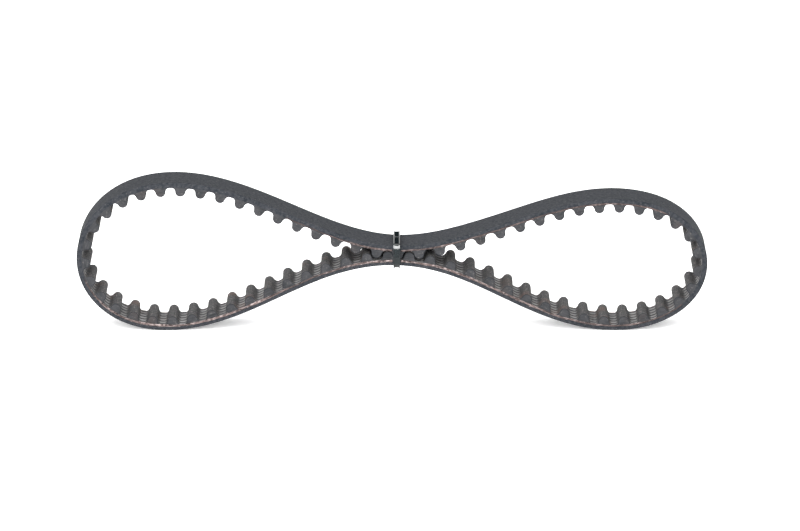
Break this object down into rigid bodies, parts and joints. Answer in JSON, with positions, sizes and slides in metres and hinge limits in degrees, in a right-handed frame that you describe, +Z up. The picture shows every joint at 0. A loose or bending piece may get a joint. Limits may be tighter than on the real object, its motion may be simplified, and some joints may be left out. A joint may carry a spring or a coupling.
{
  "type": "timing belt",
  "caption": "Endless rubber timing belt with rounded teeth inside, pinched at the middle by a small cable tie so that it stands as two lobes.",
  "frame": {"origin": "middle of the whole object, on the surface that the belt stands on", "axes": "+X along the length, +Y into the width, away from the front edge, +Z up"},
  "size_m": [0.2438, 0.0272, 0.0585],
  "materials": {
    "back_rubber": "matt, ground",
    "tooth_rubber": "matt",
    "woven_facing": "matt woven nylon",
    "cord_s": "twisted glass fibre with a red-brown dip",
    "cord_z": "twisted glass fibre with a red-brown dip",
    "tie_nylon": "glossy black nylon"
  },
  "bodies": {
    "waist": {"waist_back_rubber": "back_rubber", "waist_cords_s": "cord_s", "waist_cords_z": "cord_z", "waist_tooth_rubber": "tooth_rubber", "waist_tooth_facing": "woven_facing", "tie_strap": "tie_nylon", "tie_head": "tie_nylon"},
    "left_lobe": {"left_back_rubber": "back_rubber", "left_cords_s": "cord_s", "left_cords_z": "cord_z", "left_tooth_rubber": "tooth_rubber", "left_tooth_facing": "woven_facing"},
    "right_lobe": {"right_back_rubber": "back_rubber", "right_cords_s": "cord_s", "right_cords_z": "cord_z", "right_tooth_rubber": "tooth_rubber", "right_tooth_facing": "woven_facing"},
    "pawl": {"tie_pawl": "tie_nylon"}
  },
  "joints": [
    {"name": "left_lobe_bend", "type": "hinge", "parent": "waist", "child": "left_lobe", "pos_m": [-0.00569, -0.00024, 0.02991], "axis": [0, 1, 0], "range_deg": [0, 12], "stiffness_Nm_per_rad": 0.3},
    {"name": "right_lobe_bend", "type": "hinge", "parent": "waist", "child": "right_lobe", "pos_m": [0.01031, -0.00024, 0.02939], "axis": [0, -1, 0], "range_deg": [0, 12], "stiffness_Nm_per_rad": 0.3},
    {"name": "pawl_click", "type": "hinge", "parent": "waist", "child": "pawl", "pos_m": [0.00181, 0.01266, 0.03104], "axis": [1, 0, 0], "range_deg": [0, 10], "stiffness_Nm_per_rad": 0.001}
  ]
}
